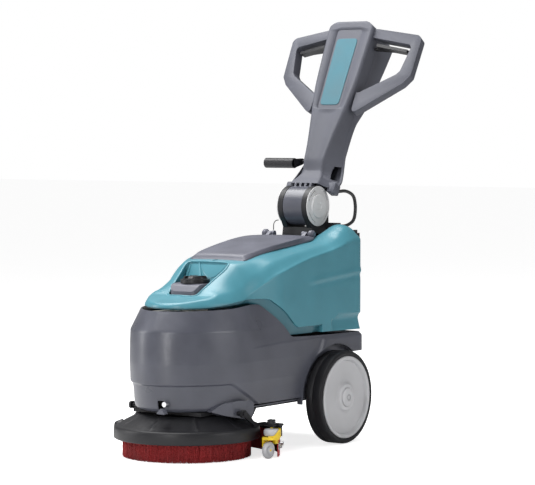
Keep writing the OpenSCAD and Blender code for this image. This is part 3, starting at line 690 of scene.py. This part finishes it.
def tank_solid(wall):
    """Both halves, still alike: each column runs up the band, the side and the edge, then inwards."""
    columns = []
    for kind, t in tank_stations():
        rim = tank_outline(kind, t, 0)
        y = rim.y
        low, panel = tank_bottom(y) + wall, panel_edge(y)
        spine = Vector((0, min(max(y, 60), 640)))
        radius = mix(11, 5, smooth(y, 40, 170))
        edge_top = top_z(rim.x, y) - wall
        column = []
        for share in BAND_SHARES:
            z = mix(low, max(panel, low + 1), share)
            p = tank_outline(kind, t, wall + undercut(y, z, share))
            column.append((p.x, p.y, z))
        for share in spread(0, 1, 42)[1:]:
            z = mix(max(panel, low + 1), edge_top - radius, share)
            p = tank_outline(kind, t, wall - side_relief(y, z))
            column.append((p.x, p.y, z))
        start = tank_outline(kind, t, wall)
        inward = spine - start
        reach = inward.length
        inward.normalize()
        for k in range(1, EDGE_STEPS + 1):
            a = math.radians(90) * k / EDGE_STEPS
            p = start + inward * min(radius * (1 - math.cos(a)), reach)
            column.append((p.x, p.y, top_z(p.x, p.y) - wall - radius * (1 - math.sin(a))))
        for share in spread(0, 1, 26)[1:]:
            p = start + inward * mix(min(radius, reach), reach, share)
            column.append((p.x, p.y, top_z(p.x, p.y) - wall))
        column.append((spine.x, spine.y, low))
        columns.append(column)
    count = len(columns[0])
    verts = [p for c in columns for p in c] + [(-x, y, z) for c in columns for x, y, z in c]
    faces = grid(len(columns), count) + grid(len(columns), count, base=len(verts) // 2)
    return verts, faces, count


def tank_mesh(name, wall=0):
    """Tank form with the hump only on the left, and both halves sewn along the centre line."""
    verts, faces, count = tank_solid(wall)
    half = len(verts) // 2
    flat = []
    for index, (x, y, z) in enumerate(verts):
        if index >= half:
            hump_here = top_z(-x, y) - top_z(x, y)
            row = index % count
            if len(BAND_SHARES) <= row < count - 1 and hump_here > 0:
                low_z = max(panel_edge(y), tank_bottom(y))
                full = top_z(-x, y)
                z = low_z + (z - low_z) * (full - hump_here - low_z) / (full - low_z)
        flat.append((x, y, z))
    keep = []
    for f in faces:
        loop = []
        for v in f:
            if all((Vector(flat[v]) - Vector(flat[u])).length > 1e-4 for u in loop):
                loop.append(v)
        if len(loop) > 2:
            keep.append(loop)
    return add(name, flat, keep)


def well(name, grow, low, high):
    """The recess in front of the lid, as a cutter that grows outwards by a margin."""
    return prism(name, rounded([(-53 - grow, -29 - grow), (53 + grow, -29 - grow),
                                (88 + grow, 119 + grow), (-88 - grow, 119 + grow)], 26 + grow, 8),
                 low, high)


tank = tank_mesh("tank_shell")
hollow = tank_mesh("hollow", TANK_WALL)
boolean(hollow, block("keep_notch", (-84, 570, 300), (84, 760, 760)))
boolean(hollow, well("keep_well", TANK_WALL, 300, 760))
boolean(tank, hollow)
boolean(tank, block("notch", (-80, 574, 300), (80, 760, 760)))
boolean(tank, well("well", 0, 300, 760))
boolean(tank, prism("opening", rounded([(-92, 196), (92, 196), (92, 522), (-92, 522)], 14), 560, 760))

# The rim of the recess, the slope under the lid hinge, and the lips on the back wall of the recess
rim_path = rounded([(-54.5, -30.5), (54.5, -30.5), (89.5, 120.5), (-89.5, 120.5)], 26, 10)
rim_points = []
for a, b in zip(rim_path, rim_path[1:] + rim_path[:1]):
    count = max(1, int((Vector(a) - Vector(b)).length / 6))
    rim_points += [tuple(Vector(a).lerp(Vector(b), k / count)) for k in range(count)]
bead = tube("bead", [(x, y, top_z(x, y) - 0.8) for x, y in rim_points], 3.4, segs=12, closed=True)
slope = prism("back_slope", [(90, 537), (93, 536), (117, 588), (121, 588), (121, 500), (90, 500)],
              -84, 84, "x")
scoop = [(-30, 121, 594), (-22, 112, 576), (-8, 103, 557), (14, 98, 546), (36, 101, 553),
         (58, 112, 576), (70, 121, 594)]
lips = [tube("lip", [(-72, 119, 591), (-76, 92, 538)], [2.6, 4.5]),
        tube("lip", [(-40, 119, 592), (-14, 92, 538)], [2.6, 5.0]),
        tube("lip", bent(scoop, 20, 4), 1.6, segs=8)]
join(tank, bead, slope, *lips)
ears = block("hinge_ears", (-64, 541, 640), (-56, 559, 668))
join(ears, block("ear", (56, 541, 640), (64, 559, 668)))
for x in (-64, 56):
    join(ears, lathe("eye", [(0, 0), (9, 0), (9, 8), (0, 8)], Matrix.Translation((x, 550, 670))
                     @ QUARTER_TURN, 32))
place(ears, "tank", "cover_grey")
place(tank, "tank", "tank_teal", ("recovery_tank",), sharp=38)
tank.data.materials.append(LOOKS["teal_band"])
# Painted shade: the band below the side panel gets a darker teal, standing in for the shadow in its
# recess
for face in tank.data.polygons:
    c = face.center / MM
    if c.y < 449 and c.z < panel_edge(c.y) - 0.8 and abs(face.normal.z) < 0.8:
        face.material_index = 1


# ---------- Lid ----------

# Sections: y, half width and z at the base, half width and z at the top edge
LID = [
    (158, 106, 597, 100, 601), (168, 108, 600, 94, 616), (214, 110, 612, 103, 627),
    (254, 112, 620, 105, 635), (334, 115, 631, 111, 648), (414, 117, 640, 114, 659),
    (454, 117, 644, 113, 663), (494, 116, 648, 104, 665), (530, 112, 653, 98, 665),
    (538, 110, 655, 98, 664)
]
lid_parts = [curve([(row[0], row[k]) for row in LID]) for k in range(1, 5)]


def lid_rings(wall=0):
    """Sections of the lid along y: a low side, a sloped flank and a slightly raised top."""
    rings = []
    for y in [158, 160, 164, 168, 174] + spread(182, 530, 44) + [534, 538]:
        low_x, low_z, high_x, high_z = [f(y) for f in lid_parts]
        half = [(low_x, low_z), (low_x, low_z + 5), (low_x - 1.5, low_z + 7),
                (high_x + 2.5, high_z - 2.4), (high_x, high_z - 0.6), (high_x - 4, high_z)]
        half = [(x - wall, z - wall) for x, z in half]
        half += [(60, high_z + 1 - wall), (20, high_z + 1.5 - wall)]
        rings.append([(x, y, z) for x, z in half] + [(-x, y, z) for x, z in half[::-1]])
    return rings


lid = loft("lid_shell", lid_rings())
inner = loft("lid_inner", lid_rings(3))
boolean(inner, block("within", (-200, 166, 560), (200, 530, 700)), "INTERSECT")
boolean(lid, inner)
for side in (-1, 1):
    join(lid, prism("lug", rounded([(526, 655), (526, 664), (546, 678), (556, 670), (552, 661)], 2),
                    side * 71.5 - 6.5, side * 71.5 + 6.5, "x"))
place(lid, "lid", "cover_grey", ("tank_lid",), sharp=50)


# ---------- Wheels ----------

WHEEL_X = 194
# Turned profiles as (radius, distance outwards from WHEEL_X)
TYRE = ([(133, 3), (138, 1.5)] + arc(142, 8, 8, -70, 0, 6)[1:]
        + [(150, 12), (150, 26), (149.2, 27), (149.2, 28), (150, 29), (150, 50)]
        + arc(142, 54, 8, 0, 80, 6)[1:] + [(137, 61), (133, 59)])
RIM = ([(132.6, 4), (132.6, 58)] + arc(129, 60, 3.4, 10, 90, 5)
       + arc(124, 60, 3.4, 90, 170, 5) + [(119.5, 56), (117, 51.5), (108, 50.5), (60, 51.5),
       (50, 53), (46, 56), (43.5, 61), (40, 63), (31.5, 63), (31, 60), (16, 60), (16, 52), (12, 52),
       (12, 10), (40, 10), (44, 14), (110, 14), (118, 8), (128, 4)])
HUB = [(0, 53), (11.9, 53), (15, 60.5), (29.5, 60.5), (30.5, 62), (30.5, 66), (29, 68.5), (26, 70),
       (12, 70.6), (10.5, 70.2), (10, 67), (6.5, 66.6), (6, 69.4), (0, 70.4)]
left_wheel = Matrix.Translation((WHEEL_X, AXLE_Y, AXLE_Z)) @ QUARTER_TURN
for tag, turn in (("left", left_wheel), ("right", MIRROR @ left_wheel)):
    for name, profile, segs, slot, node in (("tyre_tread_", TYRE, 144, "wheel_rubber", "tyre_"),
                                            ("rim_disc_", RIM, 144, "wheel_grey", "rim_"),
                                            ("hub_", HUB, 64, "wheel_grey", "hub_cap_")):
        place(lathe(name + tag, profile, turn, segs), "wheel_" + tag, slot, (node + tag,), 40)


# ---------- Brush deck ----------

RIBS = 9
LUG_R, LUG_ANGLE = 214, 212


def rib_wave(a, r, z):
    """Faint radial ribs on the cone and a raised round lug at the rim."""
    rib = max(0.0, math.cos(RIBS * a + 0.6)) ** 24
    on_cone = smooth(r, 146, 156) * (1 - smooth(r, 206, 216)) * (z > 92)
    gap = math.hypot(r - LUG_R, 2 * LUG_R * math.sin((a - math.radians(LUG_ANGLE)) / 2))
    lug = 7 * (1 - smooth(gap, 12, 18)) * (z > 88)
    return 0, 2.4 * rib * on_cone + lug


SHROUD = ([(143, 130), (144, 134), (147, 135), (152, 133.5), (158, 130)]
          + [(mix(158, 206, t), mix(130, 103, t) - 1.5 * math.sin(math.pi * t)) for t in
             spread(0, 1, 14)[1:]]
          + [(212, 100), (216, 98.6), (220, 97.4), (224, 95.5), (226.5, 92.5), (227.6, 88),
             (228, 80), (228, 62), (227, 58.5), (224.5, 57), (222, 58), (221, 62), (221, 84),
             (216, 90), (206, 95), (158, 121), (146, 126)])
shroud = lathe("shroud_shell", SHROUD, None, 360, rib_wave)
join(shroud, lathe("deck_top", [(82, 127), (148, 127), (148, 132), (82, 132)], None, 96))
place(shroud, "deck", "black_plastic", ("deck_shroud",), sharp=50)

BRUSH_R = 200
BRUSH_TOP = 57         # underside of the brush plate
FIBRES = 4200
FIBRE_POINTS = 12
rng = random.Random(7)


def brush_mesh():
    """Crimped three-sided fibres round a dense core."""
    def ragged(a, r, z):
        if z < 8:
            return 0, 1.6 * math.sin(37 * a) + 1.1 * math.sin(83 * a + 1)
        return 1.2 * math.sin(53 * a) * (r > 100), 0
    core = lathe("brush_core", [(70, 6), (130, 5), (192, 5), (193.5, 10), (194, 30), (194, 56),
                                (70, 56)], None, 240, ragged)
    verts, faces = [], []
    for _ in range(FIBRES):
        a = rng.uniform(0, 2 * math.pi)
        r = 199.4 - abs(rng.gauss(0, 4.2))
        lean_a, lean_r = rng.gauss(0, 0.03), rng.uniform(-2.5, 0.6)
        low = max(0.0, rng.gauss(1.0, 1.3))
        phase, size = rng.uniform(0, 6.3), rng.uniform(0.5, 0.85)
        start = len(verts)
        for k in range(FIBRE_POINTS):
            t = k / (FIBRE_POINTS - 1)
            z = mix(BRUSH_TOP, low, t)
            wave = math.sin(phase + t * 30)
            b = a + lean_a * t + 0.011 * wave
            q = min(r + lean_r * t + 1.9 * math.cos(phase + t * 25), BRUSH_R)
            c = Vector((q * math.cos(b), q * math.sin(b), z))
            for m in range(3):
                g = 2.1 * m + phase
                verts.append((c.x + size * math.cos(g), c.y + size * math.sin(g), c.z))
        faces += grid(FIBRE_POINTS, 3, base=start)
        for end in (start, start + 3 * (FIBRE_POINTS - 1)):
            faces.append([end, end + 1, end + 2])
    return join(core, add("fibres", verts, faces))


place(brush_mesh(), "brush", "bristle_red", ("bristles",), sharp=70).name = "brush_fibres"


# ---------- Squeegee ends ----------

PIN_R = 4
CASTER_X = 252         # inner face of the caster
# Turned profiles: the roller as (radius, height), the caster as (radius, distance outwards)
ROLLER = [(4.2, 71), (21, 71), (23.6, 72), (25, 75), (25, 84), (24.2, 87.5), (21.5, 90.4), (15, 92.2),
          (4.2, 93)]
CASTER = [(4.2, 0), (22, 0), (25, 1.4), (26.5, 4.5), (26.5, 10.5), (25, 13.4), (22, 14.8), (19, 14.8),
          (17.5, 13), (12.6, 12.6), (11.6, 15.4), (9, 16.4), (4.2, 16.4)]


def bumper_mesh():
    """Yellow bracket: plate, curved wall round the roller, drop arm with the caster pin, and posts."""
    plate = prism("bumper", rounded([(245, 52), (283, 58), (290, 88), (278, 112), (245, 112)], 12, 8),
                  60, 68)
    wall = []
    for angle in spread(-78, 112, 44):
        top = mix(72, 92, smooth(angle, -50, 10))
        c, s = math.cos(math.radians(angle)), math.sin(math.radians(angle))
        section = ((26, 66), (28.8, 66), (28.8, top - 1), (28, top), (26.6, top), (26, top - 1))
        wall.append([(ROLLER_X + r * c, ROLLER_Y + r * s, z) for r, z in section])
    foot = prism("foot", rounded([(254, 100), (270, 100), (270, 113), (254, 113)], 3), 44, 67)
    drop = prism("drop", rounded([(60, 61), (88, 61), (86, 30), (80, 22), (68, 22), (62, 30)], 5),
                 245, 250, "x")
    pin = prism("pin", circle(CASTER_Y, CASTER_Z, PIN_R, 24), 249, 269, "x")
    post = prism("post", circle(ROLLER_X, ROLLER_Y, PIN_R, 24), 67, 96)
    return join(plate, loft("wall", wall), foot, drop, pin, post)


left = bumper_mesh()
right = mirrored(left, "bumper_r")
for tag, obj in (("left", left), ("right", right)):
    obj.name = "bumper_bracket_" + tag
    place(soften(obj, 0.8), "squeegee", "bumper_yellow", ("bumper_" + tag,))
for tag, side in (("left", Matrix.Identity(4)), ("right", MIRROR)):
    roller_at = side @ Matrix.Translation((ROLLER_X, ROLLER_Y, 0))
    place(lathe("roller_dome_" + tag, ROLLER, roller_at, 64), "guide_roller_" + tag, "roller_grey",
          ("guide_roller_" + tag,), 40)
    caster_at = side @ Matrix.Translation((CASTER_X, CASTER_Y, CASTER_Z)) @ QUARTER_TURN
    place(lathe("caster_tread_" + tag, CASTER, caster_at, 64), "caster_" + tag, "roller_grey",
          ("caster_" + tag,), 40)


# ---------- Handle, drawn upright and then leaned back ----------

SPLIT = 45             # y of the joint between the front shell and the rear cover
BUTTON_X = (-32, 0, 32)
HANDLE_WALL = 5
# Column sections: height, front half width, front y, back half width, back y
COLUMN = [
    (70, 58, -30, 98, 38), (100, 50, -14, 100, 50), (127, 41, -5, 94, 58), (170, 43, -16, 82, 66),
    (213, 47, -16, 72, 72), (325, 64, -16, 68, 83), (395, 76, -16, 72, 104), (454, 83, -16, 75, 119),
    (557, 88, -16, 78, 141), (650, 91, -16, 80, 156), (700, 92, -16, 81, 162)
]
column_parts = [curve([(row[0], row[k]) for row in COLUMN]) for k in range(1, 5)]


def column_ring(s, inset=0):
    """Section of the column at height s, with the shallow channel down its front."""
    front_x, front_y, back_x, back_y = [f(s) for f in column_parts]
    half = [(front_x + x, front_y + y) for x, y in ((-8, 0.3), (-4.5, 1.6), (-1.5, 4.5), (0, 9))]
    half.append((mix(front_x, back_x, 0.5), mix(front_y, back_y, 0.5)))
    half += [(back_x + x, back_y + y) for x, y in ((0, -18), (-2.5, -9), (-8, -3), (-16, 0))]
    half = [(max(x - inset, 0), y + (inset if y < 20 else -inset)) for x, y in half]
    channel = 5.0 * smooth(s, 122, 130) * (1 - smooth(s, 338, 356))
    width = mix(28, 34, smooth(s, 130, 320))
    front = [(0, front_y + channel), (width * 0.55, front_y + channel * 0.75),
             (width, front_y + channel * 0.2), (width + 4, front_y)]
    half = [(x, y + inset) for x, y in front] + half
    return [(x, y, s) for x, y in half] + [(-x, y, s) for x, y in half[:0:-1]]


def head_limit(drop):
    """Space that the column may fill: sloped top, rounded head corners; drop lowers both."""
    side = prism("side_cut", [(-60, 58), (-60, 700), (-10, 690 - drop), (170, 647 - drop),
                              (200, 640 - drop), (200, 58)], -120, 120, "x")
    top = arc(50 - drop, 640 - drop, 45, 0, 80, 9)
    face = prism("face_cut", [(-110, 50), (110, 50)] + top + [(-x, z) for x, z in top[::-1]],
                 -80, 220, "y")
    return boolean(side, face, "INTERSECT")


def column_solid(name, drop=0, inset=0, low=70):
    body = loft(name, [column_ring(s, inset) for s in [low] + spread(76, 118, 8)
                       + spread(121, 135, 8) + spread(140, 336, 26) + spread(340, 360, 8)
                       + spread(370, 700, 30)])
    return boolean(body, head_limit(drop), "INTERSECT")


panel_recess = rounded([(-45, 353), (45, 353), (50, 655), (-50, 655)], 12)
teal_outline = rounded([(-37.5, 368), (37.5, 368), (42, 619), (-42, 619)], 15, 8)
column = column_solid("handle_column")
boolean(column, prism("panel_recess", panel_recess, -40, -14.4, "y"))
inside = column_solid("inside", HANDLE_WALL, HANDLE_WALL, 66)
boolean(column, inside)
# The bores are cut before the loops are joined, while the column is one clean shell
for x in BUTTON_X:
    boolean(column, prism("button_bore", circle(x, -36, 10.5, 40), -20, 10, "z", HEAD_TOP))

# Side loops as (x, height): outer outline and hand opening
LOOP_OUTER = [(82, 338), (240, 468), (262, 500), (266, 640), (252, 651), (86, 665)]
LOOP_INNER = [(80, 421), (94, 423), (208, 499), (219, 513), (236, 603), (230, 613), (80, 631)]


def loop_plate(name, near, far):
    plate = prism(name, rounded(LOOP_OUTER, 16, 6), near, far, "y")
    boolean(plate, prism("hand_hole", rounded(LOOP_INNER, 9, 5), -60, 80, "y"))
    return plate


swing = (Matrix.Translation((85, 1, 0)) @ Matrix.Rotation(math.radians(10), 4, "Z")
         @ Matrix.Translation((-85, -1, 0)))
left_loop = bake(soften(loop_plate("left_loop", 1, 35), 9, 4, 45))
left_loop.data.transform(METRES @ swing @ METRES.inverted())
right_loop = mirrored(left_loop, "right_loop")
solid = column_solid("solid", 0.1)
for loop in (left_loop, right_loop):
    boolean(loop, copy_of(solid, "keep"))
bpy.data.objects.remove(solid)

rear_half = copy_of(column, "column_cover")
boolean(column, block("front_part", (-140, -80, 40), (140, SPLIT - 0.3, 740)), "INTERSECT")
boolean(rear_half, block("back_part", (-140, SPLIT + 0.3, 40), (140, 220, 740)), "INTERSECT")
join(column, left_loop, right_loop)
for x in (-84, 84):
    join(column, bake(soften(block("wing", (x - 14, 6, 56), (x + 14, 42, 92)), 4, 3)))
for part in (column, rear_half):
    part.data.transform(METRES @ HANDLE @ METRES.inverted())
column.name = "handle_front"
place(column, "handle", "housing_grey", ("handle_shell",), 36, "handle_grey")
place(rear_half, "handle", "cover_grey", ("rear_cover",), 36, "rear_grey")

teal = prism("handle_panel", teal_outline, -16.2, -13.6, "y", HANDLE)
place(soften(teal, 1.1, 3, 40), "handle", "tank_teal", ("front_panel",), finish="panel_teal")

hook = prism("column_hook", rounded([(-84, 398), (-70, 404), (-62, 404), (-62, 300), (-70, 300),
                                     (-71, 372), (-80, 384)], 3), 12, 40, "y", HANDLE)
place(soften(hook, 1.5), "handle", "black_plastic")


# ---------- Silver pivot caps ----------

# Turned profile as (radius, distance outwards from the cap's face)
PIVOT_CAP = [(0, -8), (60, -8), (62, -7), (65, -4), (66, -1.5), (65.4, -0.5), (61, 0), (42, 0), (40, 0.3),
             (39, 3), (37.5, 4), (14, 4.2), (12, 3), (4, 3), (0, 3)]
cap_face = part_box("pivot_caps")[1].x / MM - 4.2
cap_at = Matrix.Translation((cap_face, PIVOT_Y, PIVOT_Z)) @ QUARTER_TURN
silver = lathe("silver_cap_left", PIVOT_CAP, cap_at, 128)
for start in (20, 110, 200, 290):
    outer = arc(PIVOT_Y, PIVOT_Z, 57, start, start + 50, 12)
    inner = arc(PIVOT_Y, PIVOT_Z, 53, start + 50, start, 12)
    boolean(silver, prism("arc_slot", outer + inner, cap_face - 2.5, cap_face + 4, "x"))
other = mirrored(silver, "silver_cap_right")
place(silver, "chassis", "button_silver", ("pivot_caps",), sharp=30)
place(other, "chassis", "button_silver", sharp=30)


# ---------- Soft parts, as fixed bent tubes ---

def hose_between(name, path, radius, slot_name, node):
    """Tube along a bent path, in place of a CAD node."""
    obj = tube(name, bent(path, 60, 10), radius)
    dress(obj, slot_name)
    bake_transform(obj)
    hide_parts(node)
    return obj


hose_between("cable_run", [(88, 706, 806), (88, 760, 808), (88, 806, 790), (88, 816, 748),
                           (88, 806, 706), (88, 760, 690), (88, 716, 691)],
             5.6, "hose_black",
             "handle_cable")
hose_between("hose_bend", [(0, 276, 98), (0, 276, 130), (0, 308, 130.5), (0, 374, 130.5),
                           (0, 406, 131), (0, 406, 162)], 16, "hose_black",
             "suction_hose")
hose_between("cord_loop", [(-68, 588, 712), (-68, 572, 711), (-68, 561, 702), (-68, 560, 680)], 1.5,
             "hose_black",
             "tether_cord")


# ---------- Everything the CAD already shapes well ----------

CAD_EDGE = 0.9         # rounding of the CAD's sharp edges
for name, node in frame["nodes"].items():
    if node.hide_render:
        continue
    row = next(r for r in frame["record"]["subparts"] if r["node"] == name)
    dress(node, row["material_slot"])
    # Normals stored in the pack would override the rounded edges
    if "custom_normal" in node.data.attributes:
        node.data.attributes.remove(node.data.attributes["custom_normal"])
    weld = node.modifiers.new("weld", "WELD")
    weld.merge_threshold = 1e-6
    soften(node, CAD_EDGE, 2, 30)


# ---------- Stage, light and camera ----------

FLOOR_REACH = 30000
FLOOR_Z = -0.6         # just below the machine, so that the two don't flicker
FLOOR_GLOW = 0.72      # seen by the camera only, it turns the floor white
ROOM_LIGHT = 0.3       # of the white surroundings, which the camera sees at full strength

corners = [(-FLOOR_REACH, -FLOOR_REACH, FLOOR_Z), (FLOOR_REACH, -FLOOR_REACH, FLOOR_Z),
           (FLOOR_REACH, FLOOR_REACH, FLOOR_Z), (-FLOOR_REACH, FLOOR_REACH, FLOOR_Z)]
floor = add("floor", corners, [[0, 1, 2, 3]])
ground = look("ground", (0.8, 0.8, 0.8), 0.7, grain=40, bump=0.02, vary=0.01, wear=0)
tree = ground.node_tree
shader = tree.nodes["Principled BSDF"]
shader.inputs["Emission Color"].default_value = (1, 1, 1, 1)
view_ray = shader_node(tree, "LightPath")
glow = shader_node(tree, "Math")
glow.operation = "MULTIPLY"
glow.inputs[1].default_value = FLOOR_GLOW
tree.links.new(view_ray.outputs["Is Camera Ray"], glow.inputs[0])
tree.links.new(glow.outputs["Value"], shader.inputs["Emission Strength"])
floor.data.materials.append(ground)

world = bpy.data.worlds.new("studio")
world.use_nodes = True
bpy.context.scene.world = world
tree = world.node_tree
sky = tree.nodes["Background"]
sky.inputs["Color"].default_value = (1, 1, 1, 1)
view_ray = shader_node(tree, "LightPath")
backdrop = shader_node(tree, "MapRange", To_Min=ROOM_LIGHT, To_Max=1.0)
tree.links.new(view_ray.outputs["Is Camera Ray"], backdrop.inputs["Value"])
tree.links.new(backdrop.outputs["Result"], sky.inputs["Strength"])


def aim(obj, where, target):
    """Puts a lamp or camera at where, facing target."""
    bpy.context.scene.collection.objects.link(obj)
    obj.location = where
    obj.rotation_euler = (Vector(target) - obj.location).to_track_quat("-Z", "Y").to_euler()
    return obj


def softbox(name, where, target, size, power):
    data = bpy.data.lights.new(name, "AREA")
    data.shape, data.size, data.size_y, data.energy = "RECTANGLE", size[0], size[1], power
    aim(bpy.data.objects.new(name, data), where, target)


softbox("top_light", (-0.9, 0.0, 3.6), (0, 0.2, 0.4), (3.2, 2.6), 225)
softbox("front_light", (0.7, -3.7, 1.4), (0.05, -0.1, 0.35), (0.42, 2.4), 62)
softbox("side_light", (4.4, 0.6, 1.7), (0.1, 0.3, 0.45), (1.8, 2.2), 52)
softbox("rim_light", (-3.2, -1.7, 1.3), (0, 0.0, 0.4), (0.6, 2.2), 48)

# The camera stands where the photograph's camera was solved to be
camera = aim(bpy.data.objects.new("camera", bpy.data.cameras.new("camera")),
             (4.538, -5.8941, 1.0164), (0.00027, 0.4306, 0.6452))
camera.data.lens = 161.5
camera.data.sensor_width = 36
bpy.context.scene.camera = camera
bpy.context.scene.view_settings.view_transform = "Standard"
